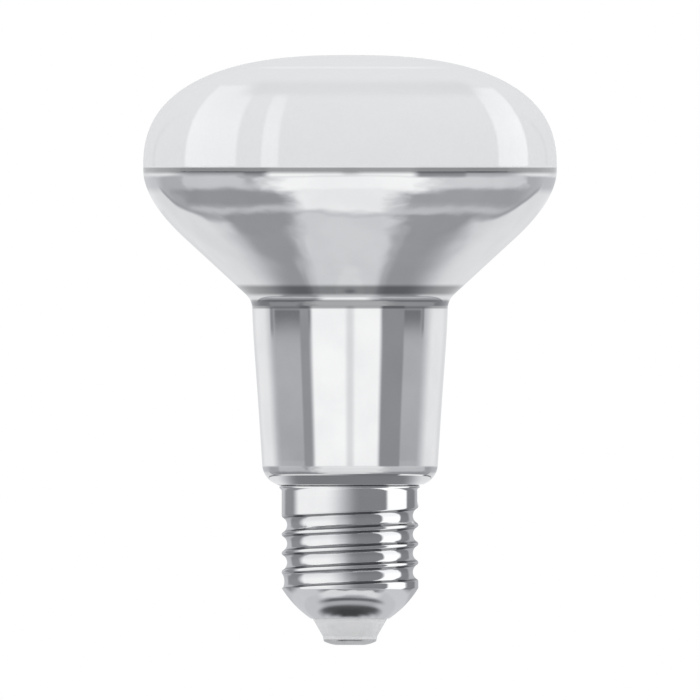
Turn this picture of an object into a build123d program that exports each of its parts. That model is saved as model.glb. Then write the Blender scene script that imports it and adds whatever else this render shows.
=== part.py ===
from build123d import *
import math
import os

# Reflector lamp: a blown glass envelope with a domed front, a cone and a neck, seated on a screw cap.
# Millimetres and degrees. Z is the lamp's axis, the cap is down and z = 0 is the centre contact's flat.
# Outlines are drawn as (radius, height) and turned round Z.

# Glass envelope: the corners of its outline, and how far its rounds reach from them on each side
BULB_DIAMETER = 80.0
DOME_HEIGHT = 22.0
DOME_EXPONENT = 2.5
DOME_POINTS = 9
BELT_UPPER_REACH = 6.0
BELT_LOWER_REACH = 11.0
CONE_ANGLE = 47.4
CONE_FOOT_UPPER_REACH = 1.6
CONE_FOOT_LOWER_REACH = 3.5
NECK_TOP_DIAMETER = 38.0
NECK_FOOT_DIAMETER = 33.57
NECK_LENGTH = 34.95
SHOULDER_UPPER_REACH = 4.8
SHOULDER_RISE = 1.05
GLASS_SEAT_DIAMETER = 26.6
GLASS_TAIL_LENGTH = 3.6

# Screw cap shell, rolled from sheet
CAP_LENGTH = 30.7
THREAD_DIAMETER = 26.4
THREAD_PITCH = 25.4 / 7
THREAD_DEPTH = 1.05
THREAD_TURNS = 3.95
THREAD_TOP_DROP = 5.7
GROOVE_ROOT_WIDTH = 0.9
GROOVE_KNEE_WIDTH = 2.1
GROOVE_KNEE_DEPTH = 0.62
GROOVE_MOUTH_WIDTH = 3.36
RUN_OUT_TURNS = 0.3
RUN_OUT_SHARE = 0.15
SHELL_WALL = 0.35
RIM_FLARE = 0.45
RIM_HEIGHT = 0.8
TAPER_HEIGHT = 5.9
TAPER_RADIUS = 19.0
MOUTH_DIAMETER = 15.1
MOUTH_LIP = 0.25

# Insulator and centre contact
INSULATOR_LENGTH = 4.1
INSULATOR_FOOT_DIAMETER = 10.4
INSULATOR_FOOT_HEIGHT = 0.6
INSULATOR_FLANGE_HEIGHT = 3.0
CONTACT_THICKNESS = 1.0
CONTACT_DIAMETER = 10.2
CONTACT_FLAT_DIAMETER = 5.0
CONTACT_EDGE = 0.25
CONTACT_DOME_RADIUS = 6.0
STEM_DIAMETER = 3.0
STEM_PROUD = 1.2

# Clearances of seated pieces, measured square to the faces
TAIL_CLEARANCE = 0.2
INSULATOR_CLEARANCE = 0.1
STEM_CLEARANCE = 0.1

# Cutting tools: how far they run past the faces that they cut, how far outside the crests the flanks of
# the thread's tool end, and how finely its path is stepped
CUT_MARGIN = 0.6
FLANK_OVERRUN = 0.1
SECTIONS_PER_TURN = 12


def turned(edges):
    """A solid of revolution about Z from a closed outline in the (radius, height) half plane."""
    return revolve(Plane.XZ * make_face(edges), Axis.Z)


def closed_on_axis(edges, low, high):
    """The outline's edges with straight ends out to the axis. low and high are its end points."""
    low_axis = (0, low[1])
    high_axis = (0, high[1])
    ends = [Line(high_axis, low_axis)]
    if low[0] > 0:
        ends.append(Line(low_axis, low))
    if high[0] > 0:
        ends.append(Line(high, high_axis))
    return [*edges, *ends]


# Heights and radii that follow from the driving dimensions
bulb_radius = BULB_DIAMETER / 2
neck_top_radius = NECK_TOP_DIAMETER / 2
neck_foot_radius = NECK_FOOT_DIAMETER / 2
seat_radius = GLASS_SEAT_DIAMETER / 2
crest_radius = THREAD_DIAMETER / 2
mouth_radius = MOUTH_DIAMETER / 2
rim_z = CAP_LENGTH

seat = Vector(seat_radius, rim_z)
shoulder_corner = Vector(neck_foot_radius, rim_z + SHOULDER_RISE)
neck_corner = Vector(neck_top_radius, shoulder_corner.Y + NECK_LENGTH)
cone_rise = (bulb_radius - neck_top_radius) / math.tan(math.radians(CONE_ANGLE))
belt_corner = Vector(bulb_radius, neck_corner.Y + cone_rise)
widest_z = belt_corner.Y + BELT_UPPER_REACH

root_radius = crest_radius - THREAD_DEPTH
skirt_bore_radius = crest_radius - SHELL_WALL
thread_bore_radius = root_radius - SHELL_WALL
tail_radius = skirt_bore_radius - TAIL_CLEARANCE
thread_top_z = rim_z - THREAD_TOP_DROP

insulator_foot_z = CONTACT_THICKNESS
mouth_z = insulator_foot_z + INSULATOR_LENGTH
taper_top_z = mouth_z + TAPER_HEIGHT
taper_arc = RadiusArc((mouth_radius, mouth_z), (crest_radius, taper_top_z), -TAPER_RADIUS)
taper_centre = taper_arc.arc_center
hole_radius = mouth_radius - MOUTH_LIP
stem_radius = STEM_DIAMETER / 2


def dome_edge():
    """The dome from the widest line to the crown: a superellipse, flat on top and full at the shoulder."""
    power = 2 / DOME_EXPONENT
    points = []
    for step in range(DOME_POINTS):
        angle = math.pi / 2 * step / (DOME_POINTS - 1)
        across = max(0.0, math.cos(angle)) ** power
        points.append((bulb_radius * across, widest_z + DOME_HEIGHT * math.sin(angle) ** power))
    points[-1] = (0, widest_z + DOME_HEIGHT)
    return Spline(points, tangents=[(0, 1), (-1, 0)])


def blown_round(corner, below, above, lower_reach, upper_reach):
    """A smooth round of the glass at a corner of its outline, with a reach of its own on each side."""
    start = corner + (below - corner).normalized() * lower_reach
    end = corner + (above - corner).normalized() * upper_reach
    return Bezier(start, corner, end)


def make_glass_envelope():
    """The sealed bulb: its blown outline in one solid, on a tail that is held inside the cap."""
    widest = Vector(bulb_radius, widest_z)
    crown = (0, widest_z + DOME_HEIGHT)
    seat_reach = (seat - shoulder_corner).length
    shoulder = blown_round(shoulder_corner, seat, neck_corner, seat_reach, SHOULDER_UPPER_REACH)
    cone_foot = blown_round(
        neck_corner, shoulder_corner, belt_corner, CONE_FOOT_LOWER_REACH, CONE_FOOT_UPPER_REACH
    )
    belt = blown_round(belt_corner, neck_corner, widest, BELT_LOWER_REACH, BELT_UPPER_REACH)
    tail_foot = (tail_radius, rim_z - GLASS_TAIL_LENGTH)
    outline = [
        Line(tail_foot, (tail_radius, rim_z)),
        Line((tail_radius, rim_z), seat),
        shoulder,
        Line(shoulder @ 1, cone_foot @ 0),
        cone_foot,
        Line(cone_foot @ 1, belt @ 0),
        belt,
        dome_edge(),
    ]
    return turned(closed_on_axis(outline, tail_foot, crown))


def groove_section(turn, share):
    """The thread's groove across one axial plane, at a share of its full width and depth."""
    angle = 2 * math.pi * turn
    outwards = (math.cos(angle), math.sin(angle), 0)
    along_path = (math.sin(angle), -math.cos(angle), 0)
    plane = Plane((0, 0, thread_top_z + THREAD_PITCH * turn), x_dir=outwards, z_dir=along_path)
    root_to_mouth = [
        (GROOVE_ROOT_WIDTH, THREAD_DEPTH),
        (GROOVE_KNEE_WIDTH, GROOVE_KNEE_DEPTH),
        (GROOVE_MOUTH_WIDTH, -FLANK_OVERRUN),
    ]
    upper = [(crest_radius - depth * share, width / 2 * share) for width, depth in root_to_mouth]
    upper.append((crest_radius + CUT_MARGIN, GROOVE_MOUTH_WIDTH / 2 * share))
    lower = [(radius, -height) for radius, height in reversed(upper)]
    return plane * make_face(Polyline(*upper, *lower, close=True))


def make_thread_cutter():
    """The right-hand groove as one solid, which narrows to a shallow scratch over a part turn at each end."""
    steps = round(THREAD_TURNS * SECTIONS_PER_TURN)
    sections = []
    for step in range(steps + 1):
        along = THREAD_TURNS * step / steps
        to_end = min(along, THREAD_TURNS - along)
        share = min(1.0, RUN_OUT_SHARE + (1 - RUN_OUT_SHARE) * to_end / RUN_OUT_TURNS)
        sections.append(groove_section(RUN_OUT_TURNS - along, share))
    return loft(sections)


def taper_point(inset, radius):
    """The point at a radius on the cap's rounded taper, moved into the cap by inset."""
    drop = math.sqrt((TAPER_RADIUS - inset) ** 2 - (radius - taper_centre.X) ** 2)
    return Vector(radius, taper_centre.Y - drop)


def taper_edge(inset, low_radius, high_radius):
    """The cap's taper between two radii, moved into the cap by inset."""
    low = taper_point(inset, low_radius)
    high = taper_point(inset, high_radius)
    return RadiusArc(low, high, inset - TAPER_RADIUS)


def make_screw_shell():
    """The cap's sheet: a flared rim, a plain skirt, the rolled thread, and a taper down to the mouth."""
    rim_foot_z = rim_z - RIM_HEIGHT
    rim = (crest_radius + RIM_FLARE, rim_z)
    wall = [
        taper_arc,
        Line((crest_radius, taper_top_z), (crest_radius, rim_foot_z)),
        Line((crest_radius, rim_foot_z), rim),
    ]
    outside = turned(closed_on_axis(wall, (mouth_radius, mouth_z), rim))
    threaded = outside - make_thread_cutter()

    bore_low = taper_point(SHELL_WALL, thread_bore_radius)
    step_z = thread_top_z + THREAD_PITCH / 4
    step_top_z = step_z + skirt_bore_radius - thread_bore_radius
    hole_low = (hole_radius, mouth_z - CUT_MARGIN)
    skirt_top = (skirt_bore_radius, rim_z + CUT_MARGIN)
    bore = [
        Line(hole_low, taper_point(SHELL_WALL, hole_radius)),
        taper_edge(SHELL_WALL, hole_radius, thread_bore_radius),
        Line(bore_low, (thread_bore_radius, step_z)),
        Line((thread_bore_radius, step_z), (skirt_bore_radius, step_top_z)),
        Line((skirt_bore_radius, step_top_z), skirt_top),
    ]
    return threaded - turned(closed_on_axis(bore, hole_low, skirt_top))


def make_base_insulator():
    """The moulded insulator: a cone below the mouth, and a flange that fills the taper behind it."""
    foot_radius = INSULATOR_FOOT_DIAMETER / 2
    waist_radius = hole_radius - INSULATOR_CLEARANCE
    behind_wall = SHELL_WALL + INSULATOR_CLEARANCE
    waist_top = taper_point(behind_wall, waist_radius)
    flange_z = mouth_z + INSULATOR_FLANGE_HEIGHT
    flange_drop = taper_centre.Y - flange_z
    flange_radius = taper_centre.X + math.sqrt((TAPER_RADIUS - behind_wall) ** 2 - flange_drop**2)
    cone_foot_z = insulator_foot_z + INSULATOR_FOOT_HEIGHT
    hole = stem_radius + STEM_CLEARANCE
    outline = [
        Line((hole, flange_z), (hole, insulator_foot_z)),
        Line((hole, insulator_foot_z), (foot_radius, insulator_foot_z)),
        Line((foot_radius, insulator_foot_z), (foot_radius, cone_foot_z)),
        Line((foot_radius, cone_foot_z), (waist_radius, mouth_z)),
        Line((waist_radius, mouth_z), waist_top),
        taper_edge(behind_wall, waist_radius, flange_radius),
        Line((flange_radius, flange_z), (hole, flange_z)),
    ]
    return turned(outline)


def make_centre_contact():
    """The stamped contact: a shallow domed button with a flat tip, on a stem through the insulator."""
    radius = CONTACT_DIAMETER / 2
    flat_radius = CONTACT_FLAT_DIAMETER / 2
    dome_z = CONTACT_THICKNESS - CONTACT_EDGE
    stem_top = (stem_radius, mouth_z + INSULATOR_FLANGE_HEIGHT + STEM_PROUD)
    button = [
        Line((0, 0), (flat_radius, 0)),
        RadiusArc((flat_radius, 0), (radius, dome_z), -CONTACT_DOME_RADIUS),
        Line((radius, dome_z), (radius, CONTACT_THICKNESS)),
        Line((radius, CONTACT_THICKNESS), (stem_radius, CONTACT_THICKNESS)),
        Line((stem_radius, CONTACT_THICKNESS), stem_top),
    ]
    return turned(closed_on_axis(button, (0, 0), stem_top))


PIECES = {
    "glass_envelope": make_glass_envelope,
    "screw_shell": make_screw_shell,
    "base_insulator": make_base_insulator,
    "centre_contact": make_centre_contact,
}

os.makedirs("parts", exist_ok=True)
for node, make in PIECES.items():
    export_step(make(), f"parts/{node}.step")
print("overall length", widest_z + DOME_HEIGHT, "widest line at", widest_z)
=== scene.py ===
import math

import bpy
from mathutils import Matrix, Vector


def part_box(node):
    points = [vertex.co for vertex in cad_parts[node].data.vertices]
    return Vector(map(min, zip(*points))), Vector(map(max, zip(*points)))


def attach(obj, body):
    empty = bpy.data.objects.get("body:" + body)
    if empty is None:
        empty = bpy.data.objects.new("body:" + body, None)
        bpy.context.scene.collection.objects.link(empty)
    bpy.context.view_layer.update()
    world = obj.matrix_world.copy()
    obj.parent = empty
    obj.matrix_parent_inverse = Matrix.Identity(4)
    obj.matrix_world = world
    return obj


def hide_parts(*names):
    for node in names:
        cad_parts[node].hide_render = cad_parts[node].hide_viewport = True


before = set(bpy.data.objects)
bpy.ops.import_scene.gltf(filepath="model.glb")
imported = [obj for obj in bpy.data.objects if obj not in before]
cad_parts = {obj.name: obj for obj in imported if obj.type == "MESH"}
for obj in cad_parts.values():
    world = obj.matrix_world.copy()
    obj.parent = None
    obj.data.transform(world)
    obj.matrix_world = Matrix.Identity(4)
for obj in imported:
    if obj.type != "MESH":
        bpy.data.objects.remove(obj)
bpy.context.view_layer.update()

# A reflector lamp that stands on its centre contact: frosted front up, mirrored cone and neck, screw cap.
# Outlines are (radius, height) in millimetres, turned round Z. The meshes are in metres.
MM = 0.001
COLUMNS = 256
LONGEST_ROW = 0.8
ROUND_STEPS = 18
TAPER_STEPS = 24
CONTACT_STEPS = 20
LEAST_STEP = 0.001
FULL_TURN = 2 * math.pi

glass_low, glass_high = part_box("glass_envelope")
shell_low, shell_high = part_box("screw_shell")
insulator_low, insulator_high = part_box("base_insulator")
_, contact_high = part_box("centre_contact")

# Blown glass
BULB_RADIUS = min(glass_high[:2]) / MM
CROWN_Z = glass_high[2] / MM
TAIL_Z = glass_low[2] / MM
DOME_HEIGHT = 22.0
DOME_EXPONENT = 2.5
DOME_STEPS = 72
BELT_UPPER_REACH = 6.0
BELT_LOWER_REACH = 11.0
CONE_ANGLE = 47.4
CONE_FOOT_UPPER_REACH = 1.6
CONE_FOOT_LOWER_REACH = 1.5
NECK_TOP_RADIUS = 19.0
NECK_FOOT_RADIUS = 16.785
NECK_SWELL = 0.1
NECK_SWELL_RISE = 3
SHOULDER_RISE = 1.05
SHOULDER_UPPER_REACH = 3.2
SEAT_RADIUS = 13.3
TAIL_RADIUS = 12.65
SILVER_EDGE_DROP = 0.5

# Screw cap
RIM_Z = shell_high[2] / MM
RIM_RADIUS = min(shell_high[:2]) / MM
MOUTH_Z = shell_low[2] / MM
CREST_RADIUS = 13.2
RIM_HEIGHT = 0.8
RIM_EDGE = 0.32
RIM_LOWER_ROUND = 0.16
RIM_UPPER_ROUND = 0.15
THREAD_PITCH = 25.4 / 7
THREAD_DEPTH = 1.05
THREAD_TOP_Z = RIM_Z - 5.7
THREAD_TOP_TURN = 0.3
THREAD_LOW_TURN = -3.65
THREAD_ROW = 0.09
ROOT_ROUND = 1.65
RUN_OUT_TURNS = 0.3
TAPER_HEIGHT = 5.9
TAPER_RADIUS = 19.0
MOUTH_RADIUS = 7.55
SHEET = 0.35
MOUTH_LIP = 0.7 * SHEET

# Insulator and contact
FOOT_Z = insulator_low[2] / MM
FLANGE_Z = insulator_high[2] / MM
FLANGE_RADIUS = min(insulator_high[:2]) / MM
INSULATOR_FOOT_RADIUS = 5.2
INSULATOR_FOOT_HEIGHT = 0.6
INSULATOR_FOOT_ROUND = 0.2
INSULATOR_KNEE_ROUND = 0.25
INSULATOR_CLEARANCE = 0.1
INSULATOR_WAIST_RADIUS = 7.2
STEM_HOLE_RADIUS = 1.6
CONTACT_RADIUS = min(contact_high[:2]) / MM
STEM_TOP_Z = contact_high[2] / MM
CONTACT_FLAT_RADIUS = 2.5
CONTACT_DOME_RADIUS = 6.0
CONTACT_EDGE = 0.25
STEM_RADIUS = 1.5

WIDEST_Z = CROWN_Z - DOME_HEIGHT
SILVER_EDGE_Z = WIDEST_Z - SILVER_EDGE_DROP
BELT_CORNER_Z = WIDEST_Z - BELT_UPPER_REACH
NECK_CORNER_Z = BELT_CORNER_Z - (BULB_RADIUS - NECK_TOP_RADIUS) / math.tan(math.radians(CONE_ANGLE))
SHOULDER_Z = RIM_Z + SHOULDER_RISE
SHOULDER_LOWER_REACH = math.hypot(NECK_FOOT_RADIUS - SEAT_RADIUS, SHOULDER_RISE)
TAPER_TOP_Z = MOUTH_Z + TAPER_HEIGHT
ROOT_RADIUS = CREST_RADIUS - THREAD_DEPTH
CREST_ROUND = (THREAD_PITCH**2 / 4 + THREAD_DEPTH**2) / (2 * THREAD_DEPTH) - ROOT_ROUND
ROOT_HALF_WIDTH = THREAD_PITCH / 2 * ROOT_ROUND / (ROOT_ROUND + CREST_ROUND)


# Outlines

def between(start, end, share):
    """The point at a share of the way from start to end."""
    return tuple(a + (b - a) * share for a, b in zip(start, end))


def towards(start, end, distance):
    """The point at a distance from start on the way to end."""
    return between(start, end, distance / math.dist(start, end))


def rounded(corners):
    """The points of an outline.

    A corner is (radius, height). A rounded one is (radius, height, reach back, reach on).
    """
    points = []
    for at, (radius, height, *reach) in enumerate(corners):
        corner = (radius, height)
        if not reach:
            points.append(corner)
            continue
        start = towards(corner, corners[at - 1][:2], reach[0])
        end = towards(corner, corners[at + 1][:2], reach[1])
        for step in range(ROUND_STEPS + 1):
            share = step / ROUND_STEPS
            points.append(between(between(start, corner, share), between(corner, end, share), share))
    return points


def arc_between(start, end, radius, steps):
    """The points of an arc that bulges to the right of the way from start to end, both ends included."""
    middle = between(start, end, 0.5)
    chord = math.dist(start, end)
    along = ((end[0] - start[0]) / chord, (end[1] - start[1]) / chord)
    reach = math.sqrt(radius**2 - chord**2 / 4)
    centre = (middle[0] - along[1] * reach, middle[1] + along[0] * reach)
    first = math.atan2(start[1] - centre[1], start[0] - centre[0])
    turn = 2 * math.asin(chord / 2 / radius)
    points = []
    for step in range(steps + 1):
        angle = first + turn * step / steps
        points.append((centre[0] + radius * math.cos(angle), centre[1] + radius * math.sin(angle)))
    return points


def in_short_rows(points, longest):
    """The same outline with long runs divided, to keep smooth shading true, and with no doubled point."""
    finer = [points[0]]
    for start, end in zip(points, points[1:]):
        length = math.dist(start, end)
        if length < LEAST_STEP:
            continue
        pieces = math.ceil(length / longest)
        finer += [between(start, end, step / pieces) for step in range(1, pieces + 1)]
    return finer


def with_row_at(points, height):
    """The same outline with one more point, where it passes a height on its way up."""
    for before, (start, end) in enumerate(zip(points, points[1:])):
        if start[1] < height < end[1]:
            share = (height - start[1]) / (end[1] - start[1])
            return points[:before + 1] + [between(start, end, share)] + points[before + 1:]
    return points


def smooth_step(share):
    """0 to 1 with soft ends, for a share that may run past either end."""
    share = min(1.0, max(0.0, share))
    return share * share * (3 - 2 * share)


# Meshes

def ring(radius, height):
    """One row of points round the axis, or the single point on it."""
    if radius == 0:
        return [(0.0, 0.0, height * MM)]
    angles = [FULL_TURN * column / COLUMNS for column in range(COLUMNS)]
    return [(radius * MM * math.cos(angle), radius * MM * math.sin(angle), height * MM) for angle in angles]


def skin(name, rows, closed, sharp_angle, finishes, finish_of_row=lambda row: 0):
    """A piece from rows of points round the axis. They run up outside, and back down inside if closed."""
    starts = []
    points = []
    for row in rows:
        starts.append(len(points))
        points += row
    pairs = list(zip(range(len(rows)), range(1, len(rows))))
    if closed:
        pairs.append((len(rows) - 1, 0))
    faces = []
    face_finishes = []
    for low, high in pairs:
        for column in range(COLUMNS):
            onward = (column + 1) % COLUMNS
            corners = []
            if len(rows[low]) == 1:
                corners.append(starts[low])
            else:
                corners += [starts[low] + column, starts[low] + onward]
            if len(rows[high]) == 1:
                corners.append(starts[high])
            else:
                corners += [starts[high] + onward, starts[high] + column]
            faces.append(corners)
            face_finishes.append(finish_of_row(low))
    mesh = bpy.data.meshes.new(name)
    mesh.from_pydata(points, [], faces)
    for finish in finishes:
        mesh.materials.append(finish)
    mesh.polygons.foreach_set("material_index", face_finishes)
    mesh.polygons.foreach_set("use_smooth", [True] * len(faces))
    mesh.set_sharp_from_angle(angle=math.radians(sharp_angle))
    mesh.validate()
    piece = bpy.data.objects.new(name, mesh)
    bpy.context.scene.collection.objects.link(piece)
    return piece


def fit(piece, node):
    """The piece stands in for a CAD node, which is hidden, and rides with the lamp."""
    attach(piece, "root")
    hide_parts(node)


def envelope_outline():
    """The glass from the foot of its tail, inside the cap, up to the crown."""
    corners = [
        (0, TAIL_Z),
        (TAIL_RADIUS, TAIL_Z),
        (TAIL_RADIUS, RIM_Z),
        (SEAT_RADIUS, RIM_Z),
        (NECK_FOOT_RADIUS, SHOULDER_Z, SHOULDER_LOWER_REACH, SHOULDER_UPPER_REACH),
        (NECK_TOP_RADIUS, NECK_CORNER_Z, CONE_FOOT_LOWER_REACH, CONE_FOOT_UPPER_REACH),
        (BULB_RADIUS, BELT_CORNER_Z, BELT_LOWER_REACH, BELT_UPPER_REACH),
        (BULB_RADIUS, WIDEST_Z),
    ]
    below = with_row_at(in_short_rows(rounded(corners), LONGEST_ROW), SILVER_EDGE_Z)
    swell_low = SHOULDER_Z + SHOULDER_UPPER_REACH
    swell_high = NECK_CORNER_Z - CONE_FOOT_LOWER_REACH
    outline = []
    for radius, height in below:
        share = min(1.0, max(0.0, (height - swell_low) / (swell_high - swell_low)))
        outline.append((radius + NECK_SWELL * math.sin(math.pi * share**NECK_SWELL_RISE), height))
    power = 2 / DOME_EXPONENT
    for step in range(1, DOME_STEPS):
        angle = math.pi / 2 * step / DOME_STEPS
        height = WIDEST_Z + DOME_HEIGHT * math.sin(angle) ** power
        outline.append((BULB_RADIUS * math.cos(angle) ** power, height))
    outline.append((0, CROWN_Z))
    return outline


def groove_depth(height, angle):
    """How far the rolled thread lies below its crests at a place on the cap. It runs out at both ends."""
    turn_here = angle / FULL_TURN
    nearest = round((height - THREAD_TOP_Z) / THREAD_PITCH - turn_here)
    along = turn_here + nearest
    off_root = abs(height - THREAD_TOP_Z - THREAD_PITCH * along)
    if off_root < ROOT_HALF_WIDTH:
        depth = THREAD_DEPTH - ROOT_ROUND + math.sqrt(ROOT_ROUND**2 - off_root**2)
    else:
        off_crest = THREAD_PITCH / 2 - off_root
        depth = CREST_ROUND - math.sqrt(CREST_ROUND**2 - off_crest**2)
    top_share = smooth_step((THREAD_TOP_TURN - along) / RUN_OUT_TURNS)
    low_share = smooth_step((along - THREAD_LOW_TURN) / RUN_OUT_TURNS)
    return depth * top_share * low_share


def threaded_ring(height):
    """One row of points on the cap's threaded wall."""
    row = []
    for column in range(COLUMNS):
        angle = FULL_TURN * column / COLUMNS
        radius = (CREST_RADIUS - groove_depth(height, angle)) * MM
        row.append((radius * math.cos(angle), radius * math.sin(angle), height * MM))
    return row


def taper_height(radius, inset):
    """The height at a radius on the cap's rounded taper, moved into the cap by inset."""
    middle = ((MOUTH_RADIUS + CREST_RADIUS) / 2, (MOUTH_Z + TAPER_TOP_Z) / 2)
    chord = math.hypot(CREST_RADIUS - MOUTH_RADIUS, TAPER_HEIGHT)
    reach = math.sqrt(TAPER_RADIUS**2 - chord**2 / 4)
    centre_radius = middle[0] - TAPER_HEIGHT / chord * reach
    centre_height = middle[1] + (CREST_RADIUS - MOUTH_RADIUS) / chord * reach
    return centre_height - math.sqrt((TAPER_RADIUS - inset) ** 2 - (radius - centre_radius) ** 2)


def shell_rows():
    """The cap's sheet: up the taper, the thread, the skirt and the rim, and back down its bore."""
    taper = arc_between((MOUTH_RADIUS, MOUTH_Z), (CREST_RADIUS, TAPER_TOP_Z), TAPER_RADIUS, TAPER_STEPS)
    rows = [ring(radius, height) for radius, height in taper]
    thread_high = RIM_Z - RIM_HEIGHT
    count = round((thread_high - TAPER_TOP_Z) / THREAD_ROW)
    for step in range(1, count + 1):
        rows.append(threaded_ring(TAPER_TOP_Z + (thread_high - TAPER_TOP_Z) * step / count))
    skirt_bore = CREST_RADIUS - SHEET
    thread_bore = ROOT_RADIUS - SHEET
    step_z = THREAD_TOP_Z + THREAD_PITCH / 4
    hole = MOUTH_RADIUS - MOUTH_LIP
    rim = rounded([
        (CREST_RADIUS, thread_high),
        (RIM_RADIUS, RIM_Z - RIM_EDGE, RIM_LOWER_ROUND, RIM_LOWER_ROUND),
        (RIM_RADIUS, RIM_Z, RIM_UPPER_ROUND, RIM_UPPER_ROUND),
        (skirt_bore, RIM_Z),
    ])
    bore = [
        (skirt_bore, step_z + skirt_bore - thread_bore),
        (thread_bore, step_z),
        (thread_bore, taper_height(thread_bore, SHEET)),
        ((thread_bore + hole) / 2, taper_height((thread_bore + hole) / 2, SHEET)),
        (hole, taper_height(hole, SHEET)),
        (hole, MOUTH_Z),
    ]
    return rows + [ring(radius, height) for radius, height in rim[1:] + bore]


def insulator_rows():
    """The moulded insulator: its foot, its cone below the cap's mouth, and its flange inside the taper."""
    behind = SHEET + INSULATOR_CLEARANCE
    knee_z = FOOT_Z + INSULATOR_FOOT_HEIGHT
    outline = rounded([
        (STEM_HOLE_RADIUS, FOOT_Z),
        (INSULATOR_FOOT_RADIUS, FOOT_Z, INSULATOR_FOOT_ROUND, INSULATOR_FOOT_ROUND),
        (INSULATOR_FOOT_RADIUS, knee_z, INSULATOR_KNEE_ROUND, INSULATOR_KNEE_ROUND),
        (INSULATOR_WAIST_RADIUS, MOUTH_Z),
        (INSULATOR_WAIST_RADIUS, taper_height(INSULATOR_WAIST_RADIUS, behind)),
        (FLANGE_RADIUS, FLANGE_Z),
        (STEM_HOLE_RADIUS, FLANGE_Z),
    ])
    return [ring(radius, height) for radius, height in in_short_rows(outline, LONGEST_ROW)]


def contact_rows():
    """The contact: a shallow domed button with a flat tip, on a stem through the insulator."""
    dome_z = FOOT_Z - CONTACT_EDGE
    flat_edge = (CONTACT_FLAT_RADIUS, 0)
    dome = arc_between(flat_edge, (CONTACT_RADIUS, dome_z), CONTACT_DOME_RADIUS, CONTACT_STEPS)
    top = [
        (CONTACT_RADIUS, FOOT_Z),
        (STEM_RADIUS, FOOT_Z),
        (STEM_RADIUS, STEM_TOP_Z),
        (0, STEM_TOP_Z),
    ]
    outline = [(0, 0), (CONTACT_FLAT_RADIUS / 2, 0), *dome, *top]
    return [ring(radius, height) for radius, height in outline]


# Node helpers

def feed(tree, source, socket):
    """Links a node's output to a socket, or sets the socket to a plain value."""
    if isinstance(source, bpy.types.NodeSocket):
        tree.links.new(source, socket)
    else:
        socket.default_value = source


def calc(tree, operation, *values):
    """The result of a Math node on sockets or plain numbers."""
    node = tree.nodes.new("ShaderNodeMath")
    node.operation = operation
    for value, socket in zip(values, node.inputs):
        feed(tree, value, socket)
    return node.outputs[0]


def remap(tree, value, low, high, new_low, new_high):
    """A value taken from one range to another, with soft ends."""
    node = tree.nodes.new("ShaderNodeMapRange")
    node.interpolation_type = "SMOOTHSTEP"
    feed(tree, value, node.inputs["Value"])
    feed(tree, low, node.inputs["From Min"])
    feed(tree, high, node.inputs["From Max"])
    feed(tree, new_low, node.inputs["To Min"])
    feed(tree, new_high, node.inputs["To Max"])
    return node.outputs["Result"]


def mixed(tree, share, start, end):
    """A plain value between two others."""
    node = tree.nodes.new("ShaderNodeMix")
    feed(tree, share, node.inputs["Factor"])
    feed(tree, start, node.inputs["A"])
    feed(tree, end, node.inputs["B"])
    return node.outputs["Result"]


def mixed_colour(tree, share, start, end):
    """A colour between two others."""
    node = tree.nodes.new("ShaderNodeMix")
    node.data_type = "RGBA"
    feed(tree, share, node.inputs["Factor"])
    feed(tree, start, node.inputs[6])
    feed(tree, end, node.inputs[7])
    return node.outputs[2]


def split(tree, vector):
    """The three parts of a vector."""
    node = tree.nodes.new("ShaderNodeSeparateXYZ")
    tree.links.new(vector, node.inputs[0])
    return node.outputs[0], node.outputs[1], node.outputs[2]


def new_group(name, inputs, outputs):
    """An empty shader node group with named number inputs and outputs. Returns it with its two ends."""
    group = bpy.data.node_groups.new(name, "ShaderNodeTree")
    for socket_name, value in inputs.items():
        socket = group.interface.new_socket(name=socket_name, in_out="INPUT", socket_type="NodeSocketFloat")
        socket.default_value = value
    for socket_name in outputs:
        group.interface.new_socket(name=socket_name, in_out="OUTPUT", socket_type="NodeSocketFloat")
    return group, group.nodes.new("NodeGroupInput"), group.nodes.new("NodeGroupOutput")


def place(tree, group, values):
    """A node group placed in a tree, with its own values. Returns its first output."""
    node = tree.nodes.new("ShaderNodeGroup")
    node.node_tree = group
    for name, value in values.items():
        feed(tree, value, node.inputs[name])
    return node.outputs[0]


def make_soft_panel():
    """Shared mask of a rectangle with soft edges over two coordinates."""
    sides = {"Across": 0.0, "Left": -1.0, "Right": 1.0, "Side Edge": 0.1}
    ends = {"Upward": 0.0, "Low": -1.0, "High": 1.0, "End Edge": 0.1}
    group, given, result = new_group("soft_panel", sides | ends, ["Mask"])
    mask = 1.0
    for coordinate, start, end, edge_name in (tuple(sides), tuple(ends)):
        value = given.outputs[coordinate]
        edge = given.outputs[edge_name]
        rise_end = calc(group, "ADD", given.outputs[start], edge)
        fall_start = calc(group, "SUBTRACT", given.outputs[end], edge)
        rise = remap(group, value, given.outputs[start], rise_end, 0.0, 1.0)
        fall = remap(group, value, fall_start, given.outputs[end], 1.0, 0.0)
        mask = calc(group, "MULTIPLY", calc(group, "MULTIPLY", rise, fall), mask)
    group.links.new(mask, result.inputs["Mask"])
    return group


NOISE_LOW = 0.3
NOISE_MIDDLE = 0.5
NOISE_HIGH = 0.7


def make_mottle():
    """Shared cloudy variation over the surface, between two values."""
    inputs = {"Scale": 100.0, "Detail": 4.0, "Low": 0.0, "High": 1.0}
    group, given, result = new_group("mottle", inputs, ["Value"])
    noise = group.nodes.new("ShaderNodeTexNoise")
    group.links.new(given.outputs["Detail"], noise.inputs["Detail"])
    group.links.new(group.nodes.new("ShaderNodeTexCoord").outputs["Object"], noise.inputs["Vector"])
    group.links.new(given.outputs["Scale"], noise.inputs["Scale"])
    low = given.outputs["Low"]
    high = given.outputs["High"]
    value = remap(group, noise.outputs["Fac"], NOISE_LOW, NOISE_HIGH, low, high)
    group.links.new(value, result.inputs["Value"])
    return group


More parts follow.
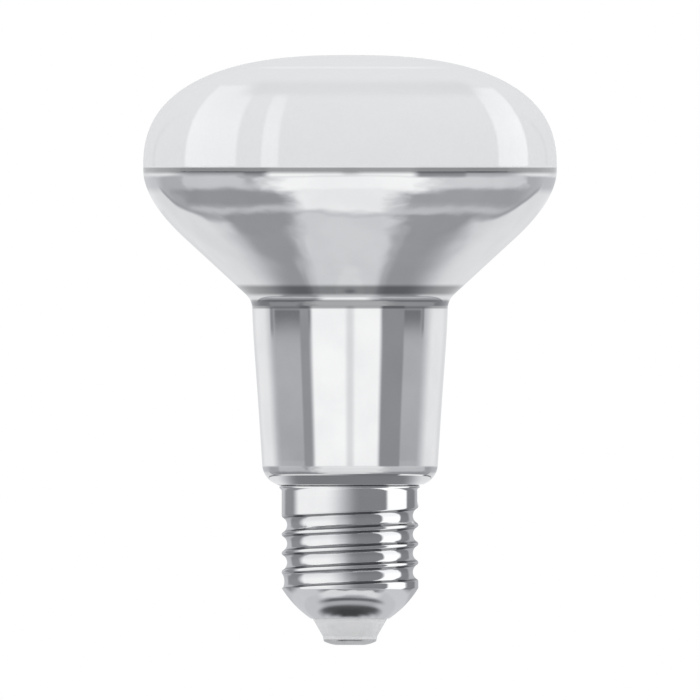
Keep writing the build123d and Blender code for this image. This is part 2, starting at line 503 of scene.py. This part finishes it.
def make_turned_lines():
    """Shared fine lines round the axis, as rolling, drawing or moulding leaves them, as a height."""
    group, given, result = new_group("turned_lines", {"Lines": 8000.0, "Waver": 60.0}, ["Height"])
    x, y, z = split(group, group.nodes.new("ShaderNodeTexCoord").outputs["Object"])
    stretched = group.nodes.new("ShaderNodeCombineXYZ")
    group.links.new(calc(group, "MULTIPLY", x, given.outputs["Waver"]), stretched.inputs[0])
    group.links.new(calc(group, "MULTIPLY", y, given.outputs["Waver"]), stretched.inputs[1])
    group.links.new(calc(group, "MULTIPLY", z, given.outputs["Lines"]), stretched.inputs[2])
    noise = group.nodes.new("ShaderNodeTexNoise")
    noise.inputs["Scale"].default_value = 1.0
    noise.inputs["Detail"].default_value = 3.0
    group.links.new(stretched.outputs[0], noise.inputs["Vector"])
    group.links.new(noise.outputs["Fac"], result.inputs["Height"])
    return group


def make_height_band():
    """Shared mask of a band round the lamp between two heights in metres, with soft edges."""
    group, given, result = new_group("height_band", {"Low": 0.0, "High": 1.0, "Edge": 0.001}, ["Mask"])
    z = split(group, group.nodes.new("ShaderNodeTexCoord").outputs["Object"])[2]
    low = given.outputs["Low"]
    high = given.outputs["High"]
    edge = given.outputs["Edge"]
    rise = remap(group, z, calc(group, "SUBTRACT", low, edge), low, 0.0, 1.0)
    fall = remap(group, z, high, calc(group, "ADD", high, edge), 1.0, 0.0)
    group.links.new(calc(group, "MULTIPLY", rise, fall), result.inputs["Mask"])
    return group


soft_panel = make_soft_panel()
mottle = make_mottle()
turned_lines = make_turned_lines()
height_band = make_height_band()


# Finishes

def new_finish(name):
    """An empty material. Returns it with its node tree and its main shader."""
    finish = bpy.data.materials.new(name)
    finish.use_nodes = True
    return finish, finish.node_tree, finish.node_tree.nodes["Principled BSDF"]


def cloudy(tree, scale, low=0.0, high=1.0, detail=4.0):
    """Cloudy variation between two values. A larger scale makes smaller clouds."""
    return place(tree, mottle, {"Scale": scale, "Detail": detail, "Low": low, "High": high})


def band(tree, low, high, edge):
    """The mask of a band round the lamp between two heights, in millimetres like its soft edge."""
    return place(tree, height_band, {"Low": low * MM, "High": high * MM, "Edge": edge * MM})


def bump(tree, shader, height, distance, strength):
    """A height that roughens the shader's normal. The distance is in millimetres."""
    node = tree.nodes.new("ShaderNodeBump")
    node.inputs["Strength"].default_value = strength
    node.inputs["Distance"].default_value = distance * MM
    tree.links.new(height, node.inputs["Height"])
    tree.links.new(node.outputs["Normal"], shader.inputs["Normal"])


GLASS_IOR = 1.5
GLASS_SMEAR_SCALE = 60.0
FROST = (0.755, 0.764, 0.778, 1)
PALE_FROST = (0.775, 0.782, 0.794, 1)
FROST_CLOUD_SCALE = 140.0
FROST_CLOUD_SHARE = 0.4
FROST_GRAIN_SCALE = 1300.0
FROST_GRAIN_SHARE = 0.6
FROST_ROUGHNESS = (0.03, 0.06)
FROST_GLOSS = 1.0
FROST_WAVE_SCALE = 45.0
FROST_LINE = (0.27, 0.275, 0.284, 1)
FROST_LINE_Z = WIDEST_Z + 0.1
FROST_LINE_FADE = 0.3


def frosted_front():
    """Clear glass with a white frost on its inside, and a grey line where the frost meets the silver."""
    finish, tree, shader = new_finish("frosted_front")
    cloud = cloudy(tree, FROST_CLOUD_SCALE, high=FROST_CLOUD_SHARE)
    grain = cloudy(tree, FROST_GRAIN_SCALE, high=FROST_GRAIN_SHARE)
    line = band(tree, 0.0, FROST_LINE_Z, FROST_LINE_FADE)
    white = mixed_colour(tree, calc(tree, "ADD", cloud, grain), FROST, PALE_FROST)
    feed(tree, mixed_colour(tree, line, white, FROST_LINE), shader.inputs["Base Color"])
    feed(tree, cloudy(tree, GLASS_SMEAR_SCALE, *FROST_ROUGHNESS), shader.inputs["Roughness"])
    shader.inputs["IOR"].default_value = GLASS_IOR
    shader.inputs["Specular IOR Level"].default_value = FROST_GLOSS
    bump(tree, shader, cloudy(tree, FROST_WAVE_SCALE), distance=0.05, strength=0.4)
    return finish


SILVER = (0.78, 0.784, 0.792, 1)
PALE_SILVER = (0.83, 0.833, 0.838, 1)
# Painted shade: the dark silver laid into the bands below.
SHADED_SILVER = (0.2, 0.203, 0.21, 1)
SILVER_CLOUD_SCALE = 110.0
SILVER_ROUGHNESS = (0.03, 0.07)
# A band of painted shade on the silver, standing in for dark reflections, is (low, high, edge, shade
# share).
PAINTED_SHADE_BANDS = {
    # Painted shade at the silver's edge, at the shoulder, in the crease above the neck and in the neck's
    # fold.
    "shade_at_silver_edge": (SILVER_EDGE_Z, WIDEST_Z, 0.7, 0.7),
    "shade_at_shoulder": (SHOULDER_Z + 1.2, SHOULDER_Z + 2.4, 0.5, 0.24),
    "shade_in_crease_above_neck": (NECK_CORNER_Z + 1.4, NECK_CORNER_Z + 2.3, 0.9, 0.85),
    "shade_in_fold_of_neck": (NECK_CORNER_Z - 1.5, NECK_CORNER_Z - 0.2, 0.4, 0.75),
}
BLOWN_LOW_Z = NECK_CORNER_Z + 9
BLOWN_HIGH_Z = WIDEST_Z - 4
BLOWN_FADE = 6.0
BLOWN_WAVE_SCALE = 75.0
BLOWN_WAVE_DETAIL = 1.5
STILL_SHARE = 0.08


def silvered_glass():
    """Glass with a silver mirror behind it, darkened in bands by painted shade, and wavy from the cone up
    to the belt.
    """
    finish, tree, shader = new_finish("silvered_glass")
    painted_shade = 0.0
    # Painted shade: each band darkens the silver by its share.
    for low, high, edge, shade_share in PAINTED_SHADE_BANDS.values():
        painted_shade = calc(tree, "MAXIMUM", painted_shade, calc(tree, "MULTIPLY", band(tree, low, high, edge), shade_share))
    bright = mixed_colour(tree, cloudy(tree, SILVER_CLOUD_SCALE), SILVER, PALE_SILVER)
    feed(tree, mixed_colour(tree, painted_shade, bright, SHADED_SILVER), shader.inputs["Base Color"])
    shader.inputs["Metallic"].default_value = 1.0
    feed(tree, cloudy(tree, GLASS_SMEAR_SCALE, *SILVER_ROUGHNESS), shader.inputs["Roughness"])
    blown = band(tree, BLOWN_LOW_Z, BLOWN_HIGH_Z, BLOWN_FADE)
    waves = cloudy(tree, BLOWN_WAVE_SCALE, detail=BLOWN_WAVE_DETAIL)
    height = calc(tree, "MULTIPLY", waves, mixed(tree, blown, STILL_SHARE, 1.0))
    bump(tree, shader, height, distance=0.1, strength=1.0)
    return finish


SHEET_METAL = (0.84, 0.843, 0.85, 1)
PALE_SHEET_METAL = (0.87, 0.873, 0.878, 1)
SHEET_SMEAR_SCALE = 220.0
SHEET_ROUGHNESS = (0.07, 0.12)
SHEET_LINES = {"Lines": 9000.0, "Waver": 50.0}
SHEET_LINE_SHARE = 0.05
THREAD_FADE = 0.1
# Painted shade: darker colours for the thread's steep flanks and the undersides of its turns.
FLANK_SHADE = (0.16, 0.162, 0.17, 1)
FLANK_SLOPE = (0.6, 0.84)
UNDER_SHADE = (0.75, 0.755, 0.77, 1)
UNDER_SLOPE = (-0.45, 0.1)
DENT_SCALE = 260.0
DENT_DETAIL = 1.0
DENT_HIGH_Z = THREAD_TOP_Z - 1
DENT_FADE = 2.0


def cap_metal():
    """Bright rolled sheet with fine lines round it. The thread is dented, with painted shade on its steep
    flanks and on the undersides of its turns.
    """
    finish, tree, shader = new_finish("cap_metal")
    lines = place(tree, turned_lines, SHEET_LINES)
    smear = cloudy(tree, SHEET_SMEAR_SCALE)
    # Painted shade, set by which way the surface faces: the thread's flanks and undersides are darkened.
    slope = split(tree, tree.nodes.new("ShaderNodeTexCoord").outputs["Normal"])[2]
    steep = remap(tree, calc(tree, "ABSOLUTE", slope), *FLANK_SLOPE, 0.0, 1.0)
    thread = band(tree, TAPER_TOP_Z, THREAD_TOP_Z + THREAD_PITCH, THREAD_FADE)
    flank = calc(tree, "MULTIPLY", steep, thread)
    under = calc(tree, "MULTIPLY", remap(tree, slope, *UNDER_SLOPE, 1.0, 0.0), thread)
    bright = mixed_colour(tree, smear, SHEET_METAL, PALE_SHEET_METAL)
    bright = mixed_colour(tree, under, bright, UNDER_SHADE)
    feed(tree, mixed_colour(tree, flank, bright, FLANK_SHADE), shader.inputs["Base Color"])
    shader.inputs["Metallic"].default_value = 1.0
    feed(tree, mixed(tree, smear, *SHEET_ROUGHNESS), shader.inputs["Roughness"])
    rolled = band(tree, TAPER_TOP_Z, DENT_HIGH_Z, DENT_FADE)
    dents = calc(tree, "MULTIPLY", cloudy(tree, DENT_SCALE, detail=DENT_DETAIL), rolled)
    height = calc(tree, "MULTIPLY_ADD", lines, SHEET_LINE_SHARE, dents)
    bump(tree, shader, height, distance=0.07, strength=0.8)
    return finish


PLASTIC = (0.84, 0.845, 0.855, 1)
PALE_PLASTIC = (0.88, 0.884, 0.89, 1)
PLASTIC_IOR = 1.75
PLASTIC_CLOUD_SCALE = 500.0
PLASTIC_ROUGHNESS = (0.06, 0.1)
MOULD_LINES = {"Lines": 5000.0, "Waver": 300.0}


def insulator_plastic():
    """Pale glossy moulding."""
    finish, tree, shader = new_finish("insulator_plastic")
    cloud = cloudy(tree, PLASTIC_CLOUD_SCALE)
    feed(tree, mixed_colour(tree, cloud, PLASTIC, PALE_PLASTIC), shader.inputs["Base Color"])
    feed(tree, mixed(tree, cloud, *PLASTIC_ROUGHNESS), shader.inputs["Roughness"])
    shader.inputs["IOR"].default_value = PLASTIC_IOR
    bump(tree, shader, place(tree, turned_lines, MOULD_LINES), distance=0.003, strength=0.3)
    return finish


TIN = (0.62, 0.62, 0.62, 1)
PALE_TIN = (0.76, 0.76, 0.755, 1)
TIN_SMEAR_SCALE = 700.0
TIN_ROUGHNESS = (0.18, 0.32)


def contact_metal():
    """Tinned contact, dulled by touch."""
    finish, tree, shader = new_finish("contact_metal")
    smear = cloudy(tree, TIN_SMEAR_SCALE)
    feed(tree, mixed_colour(tree, smear, TIN, PALE_TIN), shader.inputs["Base Color"])
    shader.inputs["Metallic"].default_value = 1.0
    feed(tree, mixed(tree, smear, *TIN_ROUGHNESS), shader.inputs["Roughness"])
    bump(tree, shader, smear, distance=0.01, strength=0.5)
    return finish


# The lamp. An edge that turns by more than the piece's sharp angle, in degrees, is kept sharp.
GLASS_SHARP_ANGLE = 50.0
SHEET_SHARP_ANGLE = 50.0
PLASTIC_SHARP_ANGLE = 35.0
TIN_SHARP_ANGLE = 30.0

outline = envelope_outline()
envelope = skin(
    "blown_glass_envelope",
    [ring(radius, height) for radius, height in outline],
    False,
    GLASS_SHARP_ANGLE,
    [silvered_glass(), frosted_front()],
    lambda row: int(outline[row][1] > SILVER_EDGE_Z - LEAST_STEP),
)
fit(envelope, "glass_envelope")

cap = skin("rolled_screw_cap", shell_rows(), True, SHEET_SHARP_ANGLE, [cap_metal()])
fit(cap, "screw_shell")

insulator = skin("moulded_insulator", insulator_rows(), True, PLASTIC_SHARP_ANGLE, [insulator_plastic()])
fit(insulator, "base_insulator")

contact = skin("tinned_contact", contact_rows(), False, TIN_SHARP_ANGLE, [contact_metal()])
fit(contact, "centre_contact")


# Studio: even white light all round. Gloss sees a grey room instead, with a white backdrop and cards in it.
# A card is (left, right, low, high, side edge, end edge, brightness). Its place is in degrees: the way that
# a mirror has to face, sideways and upward, to show the card to the camera. The backdrop and the seams at
# its two sides are placed by parts of a direction: off the middle, and away from the camera.
ROOM = 0.5
ROOM_TINT = (0.968, 0.983, 1.036, 1)
TINT_DARK = 0.3
TINT_BRIGHT = 1.1
WHITE = (1.0, 1.0, 1.0, 1)
BACKDROP = 0.84
BACKDROP_HALF_WIDTH = 0.6
BACKDROP_PLACE = (-1, BACKDROP_HALF_WIDTH, 0.3, 2, 0.04, 0.4)
SEAM_PLACE = (BACKDROP_HALF_WIDTH - 0.05, BACKDROP_HALF_WIDTH + 0.04, 0, 2, 0.045, 0.3)
LOW_SEAM = 0.35
LOW_SEAM_SHARE = 0.6
HIGH_SEAM = 0.54
HIGH_SEAM_SHARE = 0.8
HIGH_SEAM_FADE = (20.0, 40.0)
SKY = 0.77
WAVES = 5.0
WAVE_DETAIL = 4.0
WAVE_ACROSS = 12.0
WAVE_UPWARD = 4.0
FLOOR_CARDS = {
    "belt_left": (-56, -19, -28, 4, 4, 12, 0.68),
    "belt_left_gap": (-33.5, -26, -22, 4, 3, 10, 0.52),
    "belt_right": (19, 60, -28, 4, 4, 12, 0.74),
    "shade_left": (-64, -13, -36, -19, 9, 5, 0.36),
    "shade_right": (12, 65, -36, -19, 9, 5, 0.41),
    "cone_grey": (-90, 90, -91, -35, 26, 4, 0.37),
    "belt_foot_left": (-85, -38, -48, -36.5, 10, 4, 0.72),
    "belt_foot_right": (38, 85, -48, -36.5, 10, 4, 0.72),
    "seam_light": (-66, 66, -39, -33.5, 18, 2.5, 0.6),
    "centre_high": (-29, 29, -27, 4, 11, 6, 1.09),
    "centre_middle": (-23, 19, -39, -19, 11, 4, 1.0),
    "centre_low": (-23, 20, -91, -35, 9, 5, 0.74),
}
EDGE_CARDS = {
    "belt_left_edge": (-100, -64, -26, -3, 8, 8, 0.66),
    "belt_right_edge": (64, 100, -28, -3, 8, 8, 0.6),
    "cone_left_edge": (-100, -74, -91, -34, 8, 4, 0.77),
    "cone_right_edge": (74, 100, -91, -34, 8, 4, 0.79),
}
NECK_CARDS = {
    "neck_grey": (-90, 90, -10, 5, 4, 4, 0.51),
    "neck_left_side": (-95, -50, -10, 5, 13, 4, 0.93),
    "neck_right_side": (47, 95, -10, 5, 13, 4, 0.93),
    "neck_high_left": (-54, -20, -4.0, 5, 5, 2, 0.2),
    "neck_high_right": (17, 50, -4.0, 5, 5, 2, 0.2),
    "neck_left_line": (-56, -51, -3.7, 5, 2, 0.8, 0.3),
    "neck_right_line": (46.5, 50.5, -3.7, 5, 1.8, 0.8, 0.3),
    "neck_left_dark": (-32, -24, -10, 5, 2, 4, 0.35),
    "neck_right_dark": (18.5, 35, -10, 5, 2, 4, 0.32),
    "neck_left_white": (-25, 2, -10, 5, 3, 4, 1.1),
    "neck_right_white": (-2, 20, -10, 5, 3, 4, 1.09),
    "neck_gap": (-4, 4, -10, 5, 3.5, 4, 0.85),
    "neck_left_rim": (-100, -72, -10, 5, 10, 4, 0.79),
    "neck_right_rim": (70, 100, -10, 5, 10, 4, 0.8),
}
DOME_CARDS = {
    "dome_left": (-53.5, -33, -5, 60, 1.2, 3, 1.96),
    "dome_left_strip": (-26, -20, -5, 61, 1, 3, 1.87),
    "dome_right": (45.5, 60, -5, 58, 1.2, 3, 2.0),
}
DOME_FADE = (15.0, 62.0)
DOME_FADED_SHARE = 0.3
CROWN_CARDS = {
    "crown_shade": (-42, 52, 47, 65, 10, 7, 0.38),
    "crown_line": (-60, 60, 72.8, 74.8, 30, 0.9, 1.04),
}


def facing(tree, x, y, z):
    """The way that a mirror faces to show a direction to the camera: sideways and upward, in degrees."""
    towards_camera = calc(tree, "SUBTRACT", 1.0, y)
    across = calc(tree, "DEGREES", calc(tree, "ARCTAN2", x, towards_camera))
    level_square = calc(tree, "ADD", calc(tree, "MULTIPLY", x, x), calc(tree, "POWER", towards_camera, 2.0))
    upward = calc(tree, "DEGREES", calc(tree, "ARCTAN2", z, calc(tree, "SQRT", level_square)))
    return across, upward


def swayed(tree, value, noise, amount):
    """A value moved to and fro by noise."""
    return calc(tree, "MULTIPLY_ADD", calc(tree, "SUBTRACT", noise, NOISE_MIDDLE), amount, value)


def panel(tree, across, upward, left, right, low, high, side_edge, end_edge):
    """The mask of one rectangle with soft edges."""
    return place(tree, soft_panel, {
        "Across": across, "Left": left, "Right": right, "Side Edge": side_edge,
        "Upward": upward, "Low": low, "High": high, "End Edge": end_edge,
    })


def with_cards(tree, level, across, upward, cards):
    """A brightness with cards laid over it, one after the other."""
    for *sides, brightness in cards.values():
        level = mixed(tree, panel(tree, across, upward, *sides), level, brightness)
    return level


def tinted(tree, level):
    """The colour of a card: a cool grey if it is dark, white if it is bright."""
    return mixed_colour(tree, remap(tree, level, TINT_DARK, TINT_BRIGHT, 0.0, 1.0), ROOM_TINT, WHITE)


def make_world():
    """Even white light, with the room and its cards for gloss alone."""
    world = bpy.data.worlds.new("studio")
    bpy.context.scene.world = world
    world.use_nodes = True
    tree = world.node_tree
    background = tree.nodes["Background"]
    direction = tree.nodes.new("ShaderNodeTexCoord").outputs["Generated"]
    x, y, z = split(tree, direction)
    across, upward = facing(tree, x, y, z)
    noise = tree.nodes.new("ShaderNodeTexNoise")
    noise.inputs["Scale"].default_value = WAVES
    noise.inputs["Detail"].default_value = WAVE_DETAIL
    tree.links.new(direction, noise.inputs["Vector"])
    first, second, _ = split(tree, noise.outputs["Color"])
    wavy_across = swayed(tree, across, first, WAVE_ACROSS)
    wavy_upward = swayed(tree, upward, second, WAVE_UPWARD)
    off_middle = calc(tree, "ABSOLUTE", x)
    behind = panel(tree, off_middle, y, *BACKDROP_PLACE)
    seam = panel(tree, off_middle, y, *SEAM_PLACE)
    low_seam = calc(tree, "MULTIPLY", seam, LOW_SEAM_SHARE)
    high_seam = calc(tree, "MULTIPLY", seam, remap(tree, upward, *HIGH_SEAM_FADE, HIGH_SEAM_SHARE, 0.0))

    below = with_cards(tree, ROOM, wavy_across, wavy_upward, FLOOR_CARDS)
    below = mixed(tree, behind, below, BACKDROP)
    below = mixed(tree, low_seam, below, LOW_SEAM)
    below = with_cards(tree, below, across, upward, EDGE_CARDS | NECK_CARDS)

    fade = remap(tree, upward, *DOME_FADE, 1.0, DOME_FADED_SHARE)
    above = mixed(tree, fade, SKY, with_cards(tree, SKY, across, upward, DOME_CARDS))
    above = with_cards(tree, above, across, upward, CROWN_CARDS)
    above = mixed(tree, high_seam, above, HIGH_SEAM)

    level = mixed(tree, calc(tree, "LESS_THAN", z, 0.0), above, below)
    gloss = tree.nodes.new("ShaderNodeLightPath").outputs["Is Glossy Ray"]
    feed(tree, mixed(tree, gloss, 1.0, level), background.inputs["Strength"])
    feed(tree, mixed_colour(tree, gloss, WHITE, tinted(tree, level)), background.inputs["Color"])


FLOOR_HALF = 2.0
FLOOR_Z = -0.05 * MM
FLOOR_COLOUR = (0.9, 0.9, 0.9, 1)
FLOOR_ROUGHNESS = 0.9


def make_floor():
    """A pale floor just under the contact, which keeps the lamp's soft shadow."""
    left = front = -FLOOR_HALF
    right = back = FLOOR_HALF
    corners = [(left, front), (right, front), (right, back), (left, back)]
    mesh = bpy.data.meshes.new("floor")
    mesh.from_pydata([(x, y, FLOOR_Z) for x, y in corners], [], [(0, 1, 2, 3)])
    finish, _, shader = new_finish("pale_floor")
    shader.inputs["Base Color"].default_value = FLOOR_COLOUR
    shader.inputs["Roughness"].default_value = FLOOR_ROUGHNESS
    shader.inputs["Specular IOR Level"].default_value = 0.0
    mesh.materials.append(finish)
    floor = bpy.data.objects.new("floor", mesh)
    floor.visible_glossy = False
    bpy.context.scene.collection.objects.link(floor)


# Cards close round the cap. They show only in reflections. Their own cards are placed like those of the
# studio, but sideways by degrees round the cap, and upward by height or radius in millimetres.
NO_SHARP_ANGLE = 180.0
SLEEVE_RADIUS = 18.0
SLEEVE_LOW = -2.0
SLEEVE_HIGH = 30.9
SLEEVE_LEVEL = 0.3
SLEEVE_CARDS = {
    "left_light": (-77, 30, -10, 40, 15, 1, 1.0),
    "right_grey": (-30, 140, -10, 40, 42, 1, 0.25),
    "right_white": (40, 77, -10, 40, 5, 1, 1.2),
    "left_rim": (-190, -94, -10, 40, 12, 1, 0.58),
    "right_rim": (94, 190, -10, 40, 10, 1, 0.5),
    "right_edge": (110, 190, 26.5, 40, 8, 1.5, 1.15),
    "low_side": (-200, 200, -10, 6.5, 1, 3, 0.66),
    "low_front": (-55, 55, -10, 3.5, 20, 2, 0.2),
}
COLLAR_INNER_RADIUS = 13.9
COLLAR_OUTER_RADIUS = 17.2
COLLAR_Z = 31.0
COLLAR_LEVEL = 0.85
COLLAR_CARDS = {
    "front_dark": (-72, 72, 0, 30, 30, 1, 0.24),
}
FOOT_CARD_LEVEL = 0.61
FOOT_CARDS = {
    "front_grey": (-70, 70, 5, 17, 30, 3, 0.45),
    "front_dark_high": (-105, 105, 7.4, 12, 50, 1.8, 0.14),
    "front_dark_middle": (-80, 80, 5.8, 11.6, 40, 1.8, 0.09),
    "front_dark_low": (-50, 50, 4.4, 10.4, 34, 2, 0.06),
    "front_line": (-70, 80, 12.8, 15, 40, 0.8, 0.14),
    "front_light": (-60, 60, 15.1, 20, 20, 0.4, 0.8),
    "under_contact": (-200, 200, -1, 4.6, 1, 0.6, 0.62),
}


def make_card(name, rows, level, cards, upward_axis, inside_only):
    """A glowing card turned round the axis, with other cards on it. It may show from its inside only."""
    finish = bpy.data.materials.new(name)
    finish.use_nodes = True
    tree = finish.node_tree
    tree.nodes.remove(tree.nodes["Principled BSDF"])
    glow = tree.nodes.new("ShaderNodeEmission")
    x, y, z = split(tree, tree.nodes.new("ShaderNodeTexCoord").outputs["Object"])
    turn = calc(tree, "DEGREES", calc(tree, "ARCTAN2", x, calc(tree, "MULTIPLY", y, -1.0)))
    if upward_axis == "height":
        upward = z
    else:
        x_square = calc(tree, "MULTIPLY", x, x)
        y_square = calc(tree, "MULTIPLY", y, y)
        upward = calc(tree, "SQRT", calc(tree, "ADD", x_square, y_square))
    upward = calc(tree, "MULTIPLY", upward, 1 / MM)
    level = with_cards(tree, level, turn, upward, cards)
    feed(tree, level, glow.inputs["Strength"])
    feed(tree, tinted(tree, level), glow.inputs["Color"])
    surface = glow.outputs[0]
    if inside_only:
        choice = tree.nodes.new("ShaderNodeMixShader")
        feed(tree, tree.nodes.new("ShaderNodeNewGeometry").outputs["Backfacing"], choice.inputs[0])
        feed(tree, tree.nodes.new("ShaderNodeBsdfTransparent").outputs[0], choice.inputs[1])
        feed(tree, surface, choice.inputs[2])
        surface = choice.outputs[0]
    feed(tree, surface, tree.nodes["Material Output"].inputs["Surface"])
    card = skin(name, rows, False, NO_SHARP_ANGLE, [finish])
    card.visible_camera = False
    card.visible_diffuse = False
    card.visible_shadow = False
    card.visible_transmission = False


def make_cap_cards():
    """A sleeve round the cap, a collar at its rim, whose brim shows from below, and a card at its foot."""
    sleeve = [ring(SLEEVE_RADIUS, SLEEVE_LOW), ring(SLEEVE_RADIUS, SLEEVE_HIGH)]
    make_card("cap_sleeve", sleeve, SLEEVE_LEVEL, SLEEVE_CARDS, "height", True)
    collar = [ring(COLLAR_OUTER_RADIUS, COLLAR_Z), ring(COLLAR_INNER_RADIUS, COLLAR_Z)]
    make_card("cap_collar", collar, COLLAR_LEVEL, COLLAR_CARDS, "radius", False)
    brim = [ring(SLEEVE_RADIUS, COLLAR_Z), ring(COLLAR_OUTER_RADIUS, COLLAR_Z)]
    make_card("cap_collar_brim", brim, COLLAR_LEVEL, COLLAR_CARDS, "radius", True)
    foot = [ring(0, SLEEVE_LOW), ring(SLEEVE_RADIUS, SLEEVE_LOW)]
    make_card("cap_foot_card", foot, FOOT_CARD_LEVEL, FOOT_CARDS, "radius", False)


VIEW_WIDTH = 135.27
VIEW_CENTRE_Z = 57.0
CAMERA_DISTANCE = 600.0


def make_camera():
    """The photograph's view: level, from the front, with no perspective."""
    data = bpy.data.cameras.new("camera")
    data.type = "ORTHO"
    data.ortho_scale = VIEW_WIDTH * MM
    camera = bpy.data.objects.new("camera", data)
    camera.location = (0, -CAMERA_DISTANCE * MM, VIEW_CENTRE_Z * MM)
    camera.rotation_euler = (math.radians(90), 0, 0)
    bpy.context.scene.collection.objects.link(camera)
    bpy.context.scene.camera = camera


make_world()
make_floor()
make_cap_cards()
make_camera()
bpy.context.scene.view_settings.view_transform = "Standard"
